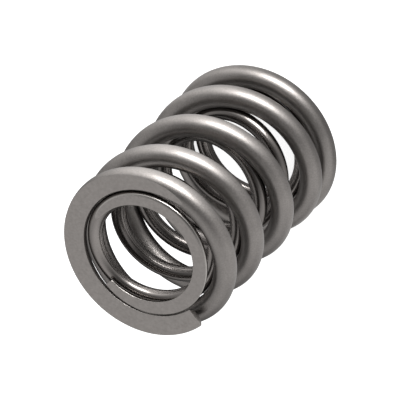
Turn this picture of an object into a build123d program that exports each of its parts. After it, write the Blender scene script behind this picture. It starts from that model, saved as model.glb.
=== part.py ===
from build123d import *
import os
from math import cos, pi, radians, sin

# A dual valve spring for an engine, standing on its bottom seat: an outer spring wound
# right hand, with a smaller inner spring wound left hand nested in it. Each is one length of
# round wire, coiled with closed ends that are ground flat.
# Millimetres, +Z up, origin on the springs' axis in the plane of the bottom seat.

# Sizes that the two springs share
free_length = 49.8        # from seat to seat with no load
outer_diameter = 36.5     # over the outer spring's coils
nesting_gap = 0.05        # radial gap between the outer and the inner spring
closing_gap = 0.04        # left between an end coil and the coil that it closes onto

# Outer spring
outer_wire = 4.6
outer_turns = 5.18       # from tip to tip, with both end coils
outer_closed_turns = 0.42  # from either tip, wound close
outer_top_ramp_turns = 1.09  # over which the pitch then opens
outer_bottom_ramp_turns = 1.2
outer_tip = 1.2           # thickness that the grinding leaves at a tip
outer_tip_azimuth = -46.3  # degrees, of the top tip

# Inner spring
inner_wire = 3.1
inner_turns = 6.56
inner_closed_turns = 0.68
inner_top_ramp_turns = 0.37
inner_bottom_ramp_turns = 0.79
inner_tip = 0.52
inner_tip_azimuth = -133.0

right_hand = 1
left_hand = -1
points_per_turn = 16      # that the wire's centre line is drawn through
stretches_per_turn = 3    # that the wire is swept in, so that each face is a short one

outer_coil_radius = (outer_diameter - outer_wire) / 2
inner_coil_radius = outer_coil_radius - outer_wire / 2 - nesting_gap - inner_wire / 2


def opened_turns(turn, closed_turns, ramp_turns):
    # How much of the active pitch the wire has gathered by this turn, counted from a tip:
    # none along the closed coil, a smooth share of it along the ramp, and all of it beyond.
    share = min(max((turn - closed_turns) / ramp_turns, 0), 1)
    along_ramp = ramp_turns * (share**3 - share**4 / 2)
    beyond_ramp = max(turn - closed_turns - ramp_turns, 0)
    return along_ramp + beyond_ramp


def centre_line(
    coil_radius, wire, turns, closed_turns, top_ramp_turns, bottom_ramp_turns, tip, tip_azimuth, hand
):
    # The wire runs from its top tip down to its bottom tip. Its closed pitch keeps each end
    # coil just off the next one, and the active pitch makes up the free length.
    closed_pitch = wire + closing_gap
    top_tip = free_length - tip + wire / 2
    bottom_tip = tip - wire / 2
    middle = turns / 2
    all_opened = opened_turns(middle, closed_turns, top_ramp_turns)
    all_opened += opened_turns(middle, closed_turns, bottom_ramp_turns)
    extra_pitch = (top_tip - bottom_tip - closed_pitch * turns) / all_opened

    def height(turn):
        if turn <= middle:
            opened = opened_turns(turn, closed_turns, top_ramp_turns)
            return top_tip - closed_pitch * turn - extra_pitch * opened
        opened = opened_turns(turns - turn, closed_turns, bottom_ramp_turns)
        return bottom_tip + closed_pitch * (turns - turn) + extra_pitch * opened

    def point(turn):
        angle = radians(tip_azimuth) - hand * 2 * pi * turn
        return Vector(coil_radius * cos(angle), coil_radius * sin(angle), height(turn))

    spans = round(turns * points_per_turn)
    points = [point(turns * i / spans) for i in range(spans + 1)]
    whole_line = Spline(*points)
    stretches = round(turns * stretches_per_turn)
    return Wire([whole_line.trim(i / stretches, (i + 1) / stretches) for i in range(stretches)])


def ground_spring(name, wire, **coil):
    # The coiled wire, with both of its ends ground down to the two flat seats.
    line = centre_line(wire=wire, **coil)
    section = Plane(origin=line @ 0, z_dir=line % 0) * Circle(wire / 2)
    coiled = sweep(section, path=line)
    straight_volume = line.length * pi * wire**2 / 4
    print(name, "wire length", round(line.length, 1))
    print(name, "share of the straight wire's volume", round(coiled.volume / straight_volume, 5))
    room = 2 * outer_diameter
    between_seats = Box(room, room, free_length, align=(Align.CENTER, Align.CENTER, Align.MIN))
    return coiled & between_seats


outer_spring = ground_spring(
    "outer",
    wire=outer_wire,
    coil_radius=outer_coil_radius,
    turns=outer_turns,
    closed_turns=outer_closed_turns,
    top_ramp_turns=outer_top_ramp_turns,
    bottom_ramp_turns=outer_bottom_ramp_turns,
    tip=outer_tip,
    tip_azimuth=outer_tip_azimuth,
    hand=right_hand,
)

inner_spring = ground_spring(
    "inner",
    wire=inner_wire,
    coil_radius=inner_coil_radius,
    turns=inner_turns,
    closed_turns=inner_closed_turns,
    top_ramp_turns=inner_top_ramp_turns,
    bottom_ramp_turns=inner_bottom_ramp_turns,
    tip=inner_tip,
    tip_azimuth=inner_tip_azimuth,
    hand=left_hand,
)

os.makedirs("parts", exist_ok=True)
export_step(outer_spring, "parts/outer_spring.step")
export_step(inner_spring, "parts/inner_spring.step")
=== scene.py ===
import bpy
from math import cos, pi, radians, sin
from mathutils import Matrix, Vector


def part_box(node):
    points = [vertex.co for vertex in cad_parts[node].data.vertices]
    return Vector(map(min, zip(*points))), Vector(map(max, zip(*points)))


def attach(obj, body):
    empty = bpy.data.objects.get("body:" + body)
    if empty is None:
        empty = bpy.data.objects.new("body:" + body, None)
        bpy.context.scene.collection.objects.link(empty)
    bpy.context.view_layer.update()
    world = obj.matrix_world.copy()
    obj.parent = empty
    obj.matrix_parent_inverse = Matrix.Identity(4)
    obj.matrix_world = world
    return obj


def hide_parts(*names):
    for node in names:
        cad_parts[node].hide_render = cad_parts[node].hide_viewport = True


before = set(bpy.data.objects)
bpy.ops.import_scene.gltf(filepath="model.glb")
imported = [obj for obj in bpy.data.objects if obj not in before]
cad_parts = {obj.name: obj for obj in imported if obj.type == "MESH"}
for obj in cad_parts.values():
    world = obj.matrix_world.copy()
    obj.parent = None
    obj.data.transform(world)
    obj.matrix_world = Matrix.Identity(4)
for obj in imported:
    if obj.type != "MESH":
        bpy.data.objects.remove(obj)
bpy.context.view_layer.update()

# A dual valve spring standing on its bottom seat. Both wires are wound again here by the
# part's own rule, with finer faces, eased edges at the ground seats and a real finish.

mm = 0.001
outerLow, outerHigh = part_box("outer_spring")
freeLength = outerHigh.z - outerLow.z
outerDiameter = outerHigh.x - outerLow.x


# Wiring helpers for all the node trees

columnWidth = 220              # of the nodes as laid out in the editor
rowHeight = 170
columnRows = 8
mixSockets = {"RGBA": (6, 7, 2), "FLOAT": (2, 3, 0)}     # first, second and result, by kind


def feed(tree, value, socket):
    if isinstance(value, bpy.types.NodeSocket):
        tree.links.new(value, socket)
    else:
        socket.default_value = value


def addNode(tree, kind, **settings):
    node = tree.nodes.new(kind)
    count = len(tree.nodes)
    node.location = (columnWidth * (count // columnRows), -rowHeight * (count % columnRows))
    for name, value in settings.items():
        setattr(node, name, value)
    return node


def maths(tree, operation, *terms):
    node = addNode(tree, "ShaderNodeMath", operation=operation)
    for socket, term in zip(node.inputs, terms):
        feed(tree, term, socket)
    return node.outputs[0]


def inTurn(tree, operation, first, *others):     # one term after another
    for other in others:
        first = maths(tree, operation, first, other)
    return first


def plus(tree, *terms):
    return inTurn(tree, "ADD", *terms)


def minus(tree, *terms):
    return inTurn(tree, "SUBTRACT", *terms)


def times(tree, *terms):
    return inTurn(tree, "MULTIPLY", *terms)


def over(tree, first, second):
    return maths(tree, "DIVIDE", first, second)


def larger(tree, first, second):
    return maths(tree, "MAXIMUM", first, second)


def limited(tree, value, low=0.0, high=1.0):
    return maths(tree, "MINIMUM", larger(tree, value, low), high)


def hump(tree, share):         # 0 at both ends of the share and 1 half way
    return times(tree, share, minus(tree, 1.0, share), 4.0)


def mapped(tree, value, fromRange, toRange=(0.0, 1.0), easing="LINEAR"):
    node = addNode(tree, "ShaderNodeMapRange", interpolation_type=easing)
    feed(tree, value, node.inputs["Value"])
    for name, end in zip(("From Min", "From Max", "To Min", "To Max"), (*fromRange, *toRange)):
        feed(tree, end, node.inputs[name])
    return node.outputs["Result"]


def mixed(tree, kind, share, first, second):
    node = addNode(tree, "ShaderNodeMix", data_type=kind)
    firstInput, secondInput, output = mixSockets[kind]
    feed(tree, share, node.inputs[0])
    feed(tree, first, node.inputs[firstInput])
    feed(tree, second, node.inputs[secondInput])
    return node.outputs[output]


def combined(tree, *parts):
    node = addNode(tree, "ShaderNodeCombineXYZ")
    for socket, part in zip(node.inputs, parts):
        feed(tree, part, socket)
    return node.outputs[0]


def floats(*names):
    return [(name, "Float") for name in names]


def startTree(name, kind, inputs, outputs):
    tree = bpy.data.node_groups.new(name, kind)
    for direction, sockets in (("INPUT", inputs), ("OUTPUT", outputs)):
        for socketName, socketType in sockets:
            tree.interface.new_socket(
                name=socketName, in_out=direction, socket_type="NodeSocket" + socketType
            )
    given = addNode(tree, "NodeGroupInput")
    result = addNode(tree, "NodeGroupOutput")
    return tree, given.outputs, result.inputs


def placeGroup(tree, kind, group, **values):
    node = addNode(tree, kind, node_tree=group)
    for name, value in values.items():
        feed(tree, value, node.inputs[name])
    return node


def geometryStep(tree, kind, geometry, **values):
    node = addNode(tree, kind)
    feed(tree, geometry, node.inputs["Geometry"])
    for name, value in values.items():
        feed(tree, value, node.inputs[name])
    return node.outputs["Geometry"]


# How far the pitch has opened at a turn, counted from a tip, and how open it is there. Along
# the ramp the openness is 3 s^2 - 2 s^3, which adds up to s^3 - s^4 / 2.

def makePitchTree():
    inputs = floats("turn", "closedTurns", "rampTurns")
    outputs = floats("opened", "openness")
    tree, given, result = startTree("pitchOpening", "GeometryNodeTree", inputs, outputs)
    past = minus(tree, given["turn"], given["closedTurns"])
    share = limited(tree, over(tree, past, given["rampTurns"]))
    squared = times(tree, share, share)
    cubed = times(tree, squared, share)
    gathered = minus(tree, cubed, times(tree, cubed, share, 0.5))
    alongRamp = times(tree, given["rampTurns"], gathered)
    beyondRamp = larger(tree, minus(tree, past, given["rampTurns"]), 0.0)
    feed(tree, plus(tree, alongRamp, beyondRamp), result["opened"])
    openness = minus(tree, times(tree, squared, 3.0), times(tree, cubed, 2.0))
    feed(tree, openness, result["openness"])
    return tree


# Half of a coiled wire, from a ground tip to the middle. Its ground seat lies in z = 0 and
# the coil hangs below it.

section = {
    "chordParts": 3,           # faces across half a ground flat
    "chordCrowding": 3.0,      # how far they crowd towards its edge
    "edgeParts": 4,            # faces round an eased edge
    "arcParts": 28,            # faces round half of the wire
    "arcCrowding": 0.6,        # how far they crowd towards both ends of the arc
    "fullFlatTurns": 0.25,     # from the tip, as far as the edges are even
    "runOutTurns": 0.5,        # from the tip, by when the outside has its run-out rounding
    "cutSharpness": 20.0,      # how soon the masks start as the flat widens
    "groundFrom": 0.97,        # mask above which a face takes the ground finish
    "mergeWithin": 0.002 * mm, # closes the seams
}


def makeHalfCoilTree(pitchTree):
    inputs = floats(
        "hand", "wireRadius", "coilRadius", "halfTurns", "closedTurns", "rampTurns",
        "closedPitch", "extraPitch", "tip", "tipAzimuth", "edge", "runOutEdge",
    ) + [("rings", "Int")]
    tree, given, result = startTree(
        "groundHalfCoil", "GeometryNodeTree", inputs, [("halfCoil", "Geometry")]
    )
    chordParts, edgeParts, arcParts = section["chordParts"], section["edgeParts"], section["arcParts"]
    halfParts = chordParts + edgeParts + arcParts
    capRings = edgeParts + 1

    # A flat grid of rings by faces round the wire, which is then bent into the coil
    grid = addNode(tree, "GeometryNodeMeshGrid")
    feed(tree, 1.0, grid.inputs["Size X"])
    feed(tree, 1.0, grid.inputs["Size Y"])
    feed(tree, plus(tree, given["rings"], 1.0), grid.inputs["Vertices X"])
    feed(tree, 2 * halfParts + 1, grid.inputs["Vertices Y"])
    onGrid = addNode(tree, "ShaderNodeSeparateXYZ")
    feed(tree, addNode(tree, "GeometryNodeInputPosition").outputs[0], onGrid.inputs[0])
    ringShare = plus(tree, onGrid.outputs["X"], 0.5)
    aroundShare = plus(tree, onGrid.outputs["Y"], 0.5)
    ring = maths(tree, "ROUND", times(tree, ringShare, given["rings"]))
    around = maths(tree, "ROUND", times(tree, aroundShare, 2.0 * halfParts))

    # The first rings close the cut tip and ease its edge
    tipShare = limited(tree, over(tree, minus(tree, ring, 1.0), edgeParts))
    tipAngle = times(tree, tipShare, pi / 2)
    tipInset = times(tree, given["edge"], minus(tree, 1.0, maths(tree, "SINE", tipAngle)))
    tipStep = minus(tree, 1.0, maths(tree, "COSINE", tipAngle))
    isOpen = limited(tree, ring)
    bodyRings = minus(tree, given["rings"], capRings)
    bodyShare = limited(tree, over(tree, minus(tree, ring, capRings), bodyRings))
    oneTurn = times(tree, given["coilRadius"], 2 * pi)
    edgeTurns = over(tree, given["edge"], oneTurn)
    bodyTurns = minus(tree, given["halfTurns"], edgeTurns)
    turn = plus(tree, times(tree, bodyShare, bodyTurns), times(tree, edgeTurns, tipStep))

    # Height of the wire's centre under the seat, and the lean of its section
    opening = placeGroup(
        tree, "GeometryNodeGroup", pitchTree,
        turn=turn, closedTurns=given["closedTurns"], rampTurns=given["rampTurns"],
    )
    closedDrop = times(tree, given["closedPitch"], turn)
    openDrop = times(tree, given["extraPitch"], opening.outputs["opened"])
    tipHeight = minus(tree, given["wireRadius"], given["tip"])
    centreZ = minus(tree, tipHeight, closedDrop, openDrop)
    extraHere = times(tree, given["extraPitch"], opening.outputs["openness"])
    slope = over(tree, plus(tree, given["closedPitch"], extraHere), oneTurn)
    slopeLength = maths(tree, "SQRT", plus(tree, 1.0, times(tree, slope, slope)))
    leanUp = over(tree, 1.0, slopeLength)
    leanAlong = times(tree, slope, leanUp, given["hand"], -1.0)

    # The round section, cut by the seat, with an eased edge where the flat meets the round
    seatHeight = minus(tree, over(tree, times(tree, centreZ, -1.0), leanUp), tipInset)
    radius = minus(tree, given["wireRadius"], tipInset)
    side = maths(tree, "SIGN", minus(tree, float(halfParts), around))
    runOut = mapped(
        tree, turn, (section["fullFlatTurns"], section["runOutTurns"]),
        (0.0, given["runOutEdge"]), "SMOOTHSTEP",
    )
    outside = larger(tree, times(tree, side, given["hand"]), 0.0)
    edgeHere = maths(tree, "MULTIPLY_ADD", runOut, outside, given["edge"])
    innerRadius = minus(tree, radius, edgeHere)
    flatHeight = minus(tree, seatHeight, edgeHere)
    flatShare = limited(tree, over(tree, flatHeight, innerRadius), -1.0, 1.0)
    flatAngle = maths(tree, "ARCCOSINE", flatShare)
    fromBottom = maths(tree, "ABSOLUTE", minus(tree, around, float(halfParts)))
    part = minus(tree, float(halfParts), fromBottom)
    chordLeft = minus(tree, 1.0, limited(tree, over(tree, part, chordParts)))
    chord = minus(tree, 1.0, maths(tree, "POWER", chordLeft, section["chordCrowding"]))
    edgeShare = limited(tree, over(tree, minus(tree, part, chordParts), edgeParts))
    pastEdge = minus(tree, part, float(chordParts + edgeParts))
    arcShare = limited(tree, over(tree, pastEdge, arcParts))
    arcCosine = maths(tree, "COSINE", times(tree, arcShare, pi))
    arcEased = times(tree, minus(tree, 1.0, arcCosine), 0.5)
    crowding = section["arcCrowding"]
    arc = plus(tree, times(tree, arcShare, 1 - crowding), times(tree, arcEased, crowding))
    roundAngle = minus(tree, pi, flatAngle)
    angle = plus(tree, times(tree, edgeShare, flatAngle), times(tree, arc, roundAngle))
    innerAngle = larger(tree, angle, flatAngle)
    acrossInner = times(tree, chord, innerRadius, maths(tree, "SINE", innerAngle))
    acrossEdge = times(tree, edgeHere, maths(tree, "SINE", angle))
    sideAndHand = times(tree, side, given["hand"], isOpen)
    across = times(tree, plus(tree, acrossInner, acrossEdge), sideAndHand)
    upInner = times(tree, innerRadius, maths(tree, "COSINE", innerAngle))
    upEdge = times(tree, edgeHere, maths(tree, "COSINE", angle))
    upRound = plus(tree, upInner, upEdge)
    cutTop = maths(tree, "MINIMUM", seatHeight, radius)
    upMiddle = times(tree, minus(tree, cutTop, radius), 0.5)
    up = plus(tree, upMiddle, times(tree, minus(tree, upRound, upMiddle), isOpen))

    # Round the axis
    turned = times(tree, turn, given["hand"], 2 * pi)
    azimuth = minus(tree, given["tipAzimuth"], turned)
    cosine = maths(tree, "COSINE", azimuth)
    sine = maths(tree, "SINE", azimuth)
    outwards = plus(tree, given["coilRadius"], across)
    along = times(tree, up, leanAlong)
    spot = combined(
        tree,
        minus(tree, times(tree, outwards, cosine), times(tree, along, sine)),
        plus(tree, times(tree, outwards, sine), times(tree, along, cosine)),
        plus(tree, centreZ, times(tree, up, leanUp)),
    )

    # Masks for the finish: the ground flat and the eased edges
    isCut = limited(tree, times(tree, flatAngle, section["cutSharpness"]))
    flatMask = times(tree, minus(tree, 1.0, edgeShare), isCut)
    seatEdge = times(tree, hump(tree, edgeShare), isCut)
    edgeMask = larger(tree, seatEdge, hump(tree, tipShare))

    geometry = grid.outputs["Mesh"]
    for name, mask in (("ground", flatMask), ("easedEdge", edgeMask)):
        store = addNode(
            tree, "GeometryNodeStoreNamedAttribute", data_type="FLOAT", domain="POINT"
        )
        feed(tree, geometry, store.inputs["Geometry"])
        feed(tree, name, store.inputs["Name"])
        feed(tree, mask, store.inputs["Value"])
        geometry = store.outputs["Geometry"]
    bent = geometryStep(tree, "GeometryNodeSetPosition", geometry, Position=spot)
    feed(tree, bent, result["halfCoil"])
    return tree


# The whole spring: two half coils, one of them turned over, joined in the middle

def makeSpringTree(pitchTree, halfCoilTree):
    inputs = floats(
        "hand", "wire", "outside", "turns", "closedTurns", "topRamp", "bottomRamp", "tip",
        "tipAzimuth", "edge", "runOutEdge", "freeLength", "closingGap",
    ) + [("rings", "Int"), ("wireSteel", "Material"), ("groundSteel", "Material")]
    tree, given, result = startTree(
        "groundSpring", "GeometryNodeTree", inputs, [("spring", "Geometry")]
    )
    halfTurns = times(tree, given["turns"], 0.5)
    wireRadius = times(tree, given["wire"], 0.5)
    coilRadius = times(tree, minus(tree, given["outside"], given["wire"]), 0.5)
    closedPitch = plus(tree, given["wire"], given["closingGap"])
    openings = [
        placeGroup(
            tree, "GeometryNodeGroup", pitchTree,
            turn=halfTurns, closedTurns=given["closedTurns"], rampTurns=given[rampName],
        ).outputs["opened"]
        for rampName in ("topRamp", "bottomRamp")
    ]
    centreDrop = minus(
        tree, plus(tree, given["freeLength"], given["wire"]), times(tree, given["tip"], 2.0)
    )
    openDrop = minus(tree, centreDrop, times(tree, closedPitch, given["turns"]))
    extraPitch = over(tree, openDrop, plus(tree, *openings))
    turned = times(tree, given["turns"], given["hand"], 2 * pi)
    bottomAzimuth = minus(tree, turned, given["tipAzimuth"])     # as seen turned over

    join = addNode(tree, "GeometryNodeJoinGeometry")
    raised = combined(tree, 0.0, 0.0, given["freeLength"])
    ends = (
        (given["tipAzimuth"], given["topRamp"], raised, (0, 0, 0)),
        (bottomAzimuth, given["bottomRamp"], (0, 0, 0), (pi, 0, 0)),
    )
    for azimuth, ramp, lift, turnOver in ends:
        half = placeGroup(
            tree, "GeometryNodeGroup", halfCoilTree,
            hand=given["hand"], wireRadius=wireRadius, coilRadius=coilRadius, halfTurns=halfTurns,
            closedTurns=given["closedTurns"], rampTurns=ramp, closedPitch=closedPitch,
            extraPitch=extraPitch, tip=given["tip"], tipAzimuth=azimuth, edge=given["edge"],
            runOutEdge=given["runOutEdge"], rings=given["rings"],
        )
        placed = geometryStep(
            tree, "GeometryNodeTransform", half.outputs["halfCoil"],
            Translation=lift, Rotation=turnOver,
        )
        feed(tree, placed, join.inputs["Geometry"])
    merged = geometryStep(
        tree, "GeometryNodeMergeByDistance", join.outputs["Geometry"],
        Distance=section["mergeWithin"],
    )
    smooth = geometryStep(tree, "GeometryNodeSetShadeSmooth", merged)
    real = geometryStep(tree, "GeometryNodeRealizeInstances", smooth)
    wirePainted = geometryStep(tree, "GeometryNodeSetMaterial", real, Material=given["wireSteel"])
    groundMask = addNode(tree, "GeometryNodeInputNamedAttribute", data_type="FLOAT")
    feed(tree, "ground", groundMask.inputs["Name"])
    onFlat = maths(
        tree, "GREATER_THAN", groundMask.outputs["Attribute"], section["groundFrom"]
    )
    painted = geometryStep(
        tree, "GeometryNodeSetMaterial", wirePainted,
        Selection=onFlat, Material=given["groundSteel"],
    )
    feed(tree, painted, result["spring"])
    return tree


# Shared finishes. Noise sets each steel's tone and its gloss.

finishOutputs = [("colour", "Color"), ("roughness", "Float"), ("height", "Float")]
toneRange = (0.36, 0.64)       # noise that gives the deep colour, and the plain one
glossRange = (0.3, 0.7)        # noise that gives the polish, and the dullness

peening = {
    "cloudScale": 170,
    "cloudDetail": 3,
    "cloudTone": 0.45,
    "grainDetail": 2,
    "grainTone": 0.55,
    "grainHeight": 0.7,
    "dimpleScale": 0.7,        # of the grain's
    "dimpleHeight": 0.5,
    "leastWearAndHighlight": 0.25,         # along the eased edges, of the wear and painted highlight
}

# Painted shade that darkens the coils towards the middle of the spring
paintedMiddleShade = {
    "full": 10 * mm,           # from an end, where the painted shade is as dark as it gets
    "none": 3.5 * mm,          # from an end, where the painted shade stops
}

grinding = {
    "speckleScale": 1600,
    "speckleDetail": 4,
    "noiseTurns": (radians(24), radians(-31)),   # one for each of two sets of marks
    "markStretch": 14,         # length of a mark over its width
    "markDetail": 3,
}


def noise(tree, where, scale, detail):
    node = addNode(tree, "ShaderNodeTexNoise")
    feed(tree, where, node.inputs["Vector"])
    feed(tree, scale, node.inputs["Scale"])
    feed(tree, detail, node.inputs["Detail"])
    return node.outputs["Fac"]


def makePeenedTree():
    inputs = [("steel", "Color"), ("deepSteel", "Color"), ("wornAndHighlitSteel", "Color")]
    inputs += floats("grainScale", "polish", "dullness", "deepShade")
    tree, given, result = startTree("peenedSteel", "ShaderNodeTree", inputs, finishOutputs)
    where = addNode(tree, "ShaderNodeTexCoord").outputs["Object"]
    cloud = noise(tree, where, peening["cloudScale"], peening["cloudDetail"])
    grain = noise(tree, where, given["grainScale"], peening["grainDetail"])
    dimples = addNode(tree, "ShaderNodeTexVoronoi")
    feed(tree, where, dimples.inputs["Vector"])
    feed(tree, times(tree, given["grainScale"], peening["dimpleScale"]), dimples.inputs["Scale"])
    cloudTone = times(tree, cloud, peening["cloudTone"])
    tone = plus(tree, cloudTone, times(tree, grain, peening["grainTone"]))
    base = mixed(tree, "RGBA", mapped(tree, tone, toneRange), given["deepSteel"], given["steel"])
    # The eased edges are lighter: partly wear, partly a painted highlight
    edge = addNode(tree, "ShaderNodeAttribute", attribute_name="easedEdge")
    wearAndHighlight = times(tree, edge.outputs["Fac"], plus(tree, grain, peening["leastWearAndHighlight"]))
    colour = mixed(tree, "RGBA", limited(tree, wearAndHighlight), base, given["wornAndHighlitSteel"])

    # Painted shade: the colour darkens towards the middle coils, away from both ends
    alongAxis = addNode(tree, "ShaderNodeSeparateXYZ")
    feed(tree, where, alongAxis.inputs[0])
    fromMiddle = maths(tree, "ABSOLUTE", minus(tree, alongAxis.outputs["Z"], freeLength / 2))
    paintedShade = mapped(
        tree, fromMiddle, (freeLength / 2 - paintedMiddleShade["full"], freeLength / 2 - paintedMiddleShade["none"]),
        (given["deepShade"], 1.0), "SMOOTHSTEP",
    )
    paintedShadeScale = addNode(tree, "ShaderNodeVectorMath", operation="SCALE")
    feed(tree, colour, paintedShadeScale.inputs[0])
    feed(tree, paintedShade, paintedShadeScale.inputs["Scale"])
    feed(tree, paintedShadeScale.outputs[0], result["colour"])
    roughness = mapped(tree, tone, glossRange, (given["polish"], given["dullness"]))
    feed(tree, roughness, result["roughness"])
    dimpleHeight = times(tree, dimples.outputs["Distance"], peening["dimpleHeight"])
    grainHeight = times(tree, grain, peening["grainHeight"])
    feed(tree, plus(tree, dimpleHeight, grainHeight), result["height"])
    return tree


def makeGroundTree():
    inputs = [("steel", "Color"), ("deepSteel", "Color")]
    inputs += floats("markScale", "polish", "dullness")
    tree, given, result = startTree("groundSteel", "ShaderNodeTree", inputs, finishOutputs)
    where = addNode(tree, "ShaderNodeTexCoord").outputs["Object"]
    speckle = noise(tree, where, grinding["speckleScale"], grinding["speckleDetail"])
    sets = []
    for noiseTurn in grinding["noiseTurns"]:
        lay = addNode(tree, "ShaderNodeMapping")
        feed(tree, where, lay.inputs["Vector"])
        feed(tree, (0, 0, noiseTurn), lay.inputs["Rotation"])
        feed(tree, (1, grinding["markStretch"], 1), lay.inputs["Scale"])
        sets.append(noise(tree, lay.outputs[0], given["markScale"], grinding["markDetail"]))
    marks = times(tree, plus(tree, *sets), 0.5)
    tone = times(tree, plus(tree, speckle, marks), 0.5)
    colour = mixed(tree, "RGBA", mapped(tree, tone, toneRange), given["deepSteel"], given["steel"])
    feed(tree, colour, result["colour"])
    roughness = mapped(tree, marks, glossRange, (given["polish"], given["dullness"]))
    feed(tree, roughness, result["roughness"])
    feed(tree, marks, result["height"])
    return tree


outerWireFinish = {
    "steel": (0.28, 0.262, 0.25, 1),
    "deepSteel": (0.21, 0.196, 0.187, 1),
    # lighter colour on the eased edges: wear and a painted highlight
    "wornAndHighlitSteel": (0.42, 0.4, 0.38, 1),
    "grainScale": 3200,
    "relief": 0.005 * mm,
    "polish": 0.37,            # least roughness
    "dullness": 0.44,          # most roughness
    "deepShade": 1.0,          # no painted shade
}

outerSeatFinish = {
    "steel": (0.375, 0.349, 0.333, 1),
    "deepSteel": (0.29, 0.27, 0.257, 1),
    "markScale": 420,
    "relief": 0.002 * mm,
    "polish": 0.42,
    "dullness": 0.55,
}

innerWireFinish = {
    "steel": (0.25, 0.231, 0.22, 1),
    # lighter colour on the eased edges: wear and a painted highlight
    "deepSteel": (0.225, 0.208, 0.198, 1),
    "wornAndHighlitSteel": (0.42, 0.4, 0.38, 1),
    "grainScale": 3600,
    "relief": 0.0005 * mm,
    "polish": 0.22,
    "dullness": 0.235,
    # painted shade: the middle coils darken to this share of their colour
    "deepShade": 0.7,
}

innerSeatFinish = {
    "steel": (0.365, 0.34, 0.324, 1),
    "deepSteel": (0.285, 0.265, 0.253, 1),
    "markScale": 460,
    "relief": 0.002 * mm,
    "polish": 0.4,
    "dullness": 0.52,
}


def makeSteel(name, group, relief, **values):
    material = bpy.data.materials.new(name)
    material.use_nodes = True
    tree = material.node_tree
    surface = tree.nodes["Principled BSDF"]
    surface.inputs["Metallic"].default_value = 1.0
    finish = placeGroup(tree, "ShaderNodeGroup", group, **values)
    bump = addNode(tree, "ShaderNodeBump")
    bump.inputs["Strength"].default_value = 1.0
    bump.inputs["Distance"].default_value = relief
    feed(tree, finish.outputs["colour"], surface.inputs["Base Color"])
    feed(tree, finish.outputs["roughness"], surface.inputs["Roughness"])
    feed(tree, finish.outputs["height"], bump.inputs["Height"])
    feed(tree, bump.outputs["Normal"], surface.inputs["Normal"])
    return material


peened = makePeenedTree()
ground = makeGroundTree()
outerWireSteel = makeSteel("outerWireSteel", peened, **outerWireFinish)
outerGroundSteel = makeSteel("outerGroundSteel", ground, **outerSeatFinish)
innerWireSteel = makeSteel("innerWireSteel", peened, **innerWireFinish)
innerGroundSteel = makeSteel("innerGroundSteel", ground, **innerSeatFinish)
print("finishes made")


# The two springs

closingGap = 0.04 * mm         # between an end coil and the coil that it closes onto
nestingGap = 0.05 * mm         # between the outer and the inner spring

outerSpring = {
    "name": "outer_spring_wire",
    "node": "outer_spring",
    "slot": "outer_spring_steel",
    "hand": 1.0,               # wound right hand
    "wire": 4.6 * mm,
    "outside": outerDiameter,
    "turns": 5.18,
    "closedTurns": 0.45,       # wound close, from either tip
    "topRamp": 1.09,           # turns over which the pitch opens
    "bottomRamp": 1.2,
    "tip": 1.2 * mm,           # left by the grinding at a tip
    "tipAzimuth": radians(-46.3),
    "edge": 0.05 * mm,         # rounding of the ground edges
    "runOutEdge": 0.0,         # extra rounding outside, where the flat runs out
    "rings": 500,              # along half of the wire
    "wireSteel": outerWireSteel,
    "groundSteel": outerGroundSteel,
}

innerSpring = {
    "name": "inner_spring_wire",
    "node": "inner_spring",
    "slot": "inner_spring_steel",
    "hand": -1.0,              # wound left hand
    "wire": 3.1 * mm,
    "outside": outerDiameter - 2 * (outerSpring["wire"] + nestingGap),
    "turns": 6.56,
    "closedTurns": 0.68,
    "topRamp": 0.37,
    "bottomRamp": 0.79,
    "tip": 0.52 * mm,
    "tipAzimuth": radians(-133.0),
    "edge": 0.12 * mm,
    "runOutEdge": 0.45 * mm,
    "rings": 500,
    "wireSteel": innerWireSteel,
    "groundSteel": innerGroundSteel,
}


def windSpring(spring, springTree):
    holder = bpy.data.objects.new(spring["name"], bpy.data.meshes.new(spring["name"]))
    bpy.context.scene.collection.objects.link(holder)
    winding = holder.modifiers.new("winding", "NODES")
    winding.node_group = springTree
    values = {**spring, "freeLength": freeLength, "closingGap": closingGap}
    for socket in springTree.interface.items_tree:
        if socket.in_out == "INPUT":
            winding[socket.identifier] = values[socket.name]
    bpy.context.view_layer.update()
    depsgraph = bpy.context.evaluated_depsgraph_get()
    wound = bpy.data.meshes.new_from_object(
        holder.evaluated_get(depsgraph), preserve_all_data_layers=True, depsgraph=depsgraph
    )
    holder.modifiers.clear()
    holder.data = wound
    wound.name = spring["name"]
    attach(holder, "root")
    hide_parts(spring["node"])
    wound.calc_loop_triangles()
    print(spring["name"], "wound with", len(wound.loop_triangles), "triangles")


pitchTree = makePitchTree()
springTree = makeSpringTree(pitchTree, makeHalfCoilTree(pitchTree))
windSpring(outerSpring, springTree)
windSpring(innerSpring, springTree)


# The photograph's view. The near end is the top seat, and the picture is 400 by 400.

photo = {
    "size": 400,
    "seatCentre": (144.92, 254.62),    # pixels, centre of the near seat
    "pixelsPerMetre": 5094.6,          # at that centre
    "focalPixels": 3526.6,
    "tilt": 0.6982,                    # between the spring's axis and the line of sight
    "lean": 0.7873,                    # of the axis in the picture, from the horizontal
    "sensorWidth": 36,                 # millimetres
    "nearest": 0.01,                   # metres, where the camera's view starts
    "farthest": 20,                    # and where it ends
}


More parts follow.
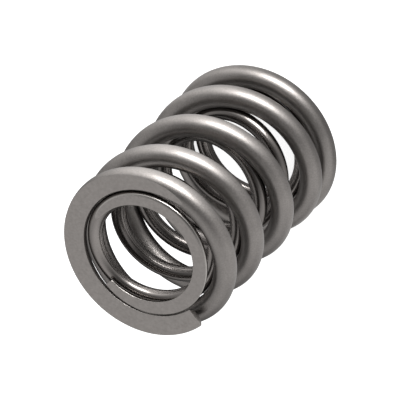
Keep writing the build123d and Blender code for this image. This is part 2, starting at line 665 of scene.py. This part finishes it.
def placeCamera():
    tilt, lean = photo["tilt"], photo["lean"]
    axisInView = Vector((-sin(tilt) * cos(lean), -sin(tilt) * sin(lean), cos(tilt)))
    rightInView = (Vector((1, 0, 0)) - axisInView.x * axisInView).normalized()
    upInView = axisInView.cross(rightInView)
    viewTurn = Matrix((rightInView, upInView, axisInView))
    distance = photo["focalPixels"] / photo["pixelsPerMetre"]
    centreX = (photo["seatCentre"][0] - photo["size"] / 2) / photo["pixelsPerMetre"]
    centreY = -(photo["seatCentre"][1] - photo["size"] / 2) / photo["pixelsPerMetre"]
    lens = bpy.data.cameras.new("photoCamera")
    lens.sensor_width = photo["sensorWidth"]
    lens.lens = photo["focalPixels"] / photo["size"] * lens.sensor_width
    lens.clip_start = photo["nearest"]
    lens.clip_end = photo["farthest"]
    camera = bpy.data.objects.new("photoCamera", lens)
    bpy.context.scene.collection.objects.link(camera)
    seat = Vector((0, 0, freeLength))
    standpoint = seat - viewTurn @ Vector((centreX, centreY, -distance))
    camera.matrix_world = Matrix.Translation(standpoint) @ viewTurn.to_4x4()
    bpy.context.scene.camera = camera


placeCamera()
print("camera placed")


# Floor, world and lamp. The camera sees an even white. The steel sees a studio instead, with
# soft panels that fade into the dark, each facing the spring from its own side.

panels = {                             # side that each panel stands on, and its level
    "behind": ((-0.1, 0.97, 0.05), 1.9),
    "behindRight": ((0.5, 0.85, -0.2), 1.0),
    "behindLeft": ((-0.6, 0.7, -0.4), 1.3),
    "above": ((0.2, -0.7, 0.7), 1.05),
    "left": ((-0.8, -0.15, 0.55), 0.85),
    "right": ((0.9, -0.3, 0.1), 1.0),
    "below": ((0.5, -0.5, -0.7), 0.8),
}

studio = {
    "panelFocus": 4.0,                 # higher is narrower
    "softLevel": 0.6,                  # of the even light from all round
    "floorReach": 3.0,                 # metres, each way
    "floorDrop": 0.01 * mm,            # keeps it just clear of the ground seats
    "floorGlow": 0.8,
    "floorWhite": 0.86,
    "floorRoughness": 0.8,
}

keySoftbox = {
    "place": (0.17, 0.8, 0.2),
    "facing": (-0.17, -0.8, -0.15),
    "size": (0.5, 0.4),
    "radiance": 13.5,
}

white = (1, 1, 1, 1)


def dot(tree, first, second):
    node = addNode(tree, "ShaderNodeVectorMath", operation="DOT_PRODUCT")
    feed(tree, first, node.inputs[0])
    feed(tree, second, node.inputs[1])
    return node.outputs["Value"]


def makeStudioTree():
    tree, given, result = startTree(
        "gradedStudio", "ShaderNodeTree", [("direction", "Vector")], [("level", "Float")]
    )
    unit = addNode(tree, "ShaderNodeVectorMath", operation="NORMALIZE")
    feed(tree, given["direction"], unit.inputs[0])
    total = 0.0
    for side, level in panels.values():
        facing = larger(tree, dot(tree, unit.outputs[0], Vector(side).normalized()), 0.0)
        lobe = maths(tree, "POWER", facing, studio["panelFocus"])
        total = maths(tree, "MULTIPLY_ADD", lobe, level, total)
    feed(tree, total, result["level"])
    return tree


def whiteRays(tree):
    rays = addNode(tree, "ShaderNodeLightPath")
    seen = larger(tree, rays.outputs["Is Camera Ray"], rays.outputs["Is Glossy Ray"])
    return rays.outputs["Is Camera Ray"], larger(tree, seen, rays.outputs["Is Transmission Ray"])


# The floor glows white to the camera and keeps the spring's shadow. The steel sees the
# panels in it.

def makeFloor(studioTree):
    mesh = bpy.data.meshes.new("floor")
    reach, level = studio["floorReach"], -studio["floorDrop"]
    corners = [(x * reach, y * reach, level) for x, y in ((-1, -1), (1, -1), (1, 1), (-1, 1))]
    mesh.from_pydata(corners, [], [(0, 1, 2, 3)])
    floor = bpy.data.objects.new("floor", mesh)
    bpy.context.scene.collection.objects.link(floor)
    material = bpy.data.materials.new("floorWhite")
    material.use_nodes = True
    tree = material.node_tree
    surface = tree.nodes["Principled BSDF"]
    surface.inputs["Roughness"].default_value = studio["floorRoughness"]
    surface.inputs["Specular IOR Level"].default_value = 0.0
    surface.inputs["Emission Color"].default_value = white
    fromSpring = addNode(tree, "ShaderNodeVectorMath", operation="SUBTRACT")
    feed(tree, addNode(tree, "ShaderNodeTexCoord").outputs["Object"], fromSpring.inputs[0])
    feed(tree, (0, 0, freeLength / 2), fromSpring.inputs[1])
    graded = placeGroup(tree, "ShaderNodeGroup", studioTree, direction=fromSpring.outputs[0])
    cameraRay, seen = whiteRays(tree)
    cameraGlow = times(tree, cameraRay, studio["floorGlow"])
    glow = times(tree, seen, larger(tree, cameraGlow, graded.outputs["level"]))
    feed(tree, glow, surface.inputs["Emission Strength"])
    feed(tree, times(tree, cameraRay, studio["floorWhite"]), surface.inputs["Base Color"])
    floor.data.materials.append(material)


def makeWorld(studioTree):
    world = bpy.data.worlds.new("studio")
    bpy.context.scene.world = world
    world.use_nodes = True
    tree = world.node_tree
    backdrop = tree.nodes["Background"]
    backdrop.inputs["Color"].default_value = white
    graded = placeGroup(
        tree, "ShaderNodeGroup", studioTree,
        direction=addNode(tree, "ShaderNodeTexCoord").outputs["Generated"],
    )
    cameraRay, seen = whiteRays(tree)
    sight = mixed(tree, "FLOAT", cameraRay, graded.outputs["level"], 1.0)
    strength = mixed(tree, "FLOAT", seen, studio["softLevel"], sight)
    feed(tree, strength, backdrop.inputs["Strength"])


def addLamp(name, place, facing, size, radiance):
    lamp = bpy.data.lights.new(name, "AREA")
    lamp.shape = "RECTANGLE"
    lamp.size, lamp.size_y = size
    lamp.energy = radiance * pi * size[0] * size[1]
    holder = bpy.data.objects.new(name, lamp)
    bpy.context.scene.collection.objects.link(holder)
    holder.location = place
    holder.rotation_euler = (-Vector(facing)).to_track_quat("Z", "Y").to_euler()


studioTree = makeStudioTree()
makeFloor(studioTree)
makeWorld(studioTree)
addLamp("keySoftbox", **keySoftbox)
bpy.context.scene.view_settings.view_transform = "Standard"
print("stage lit")
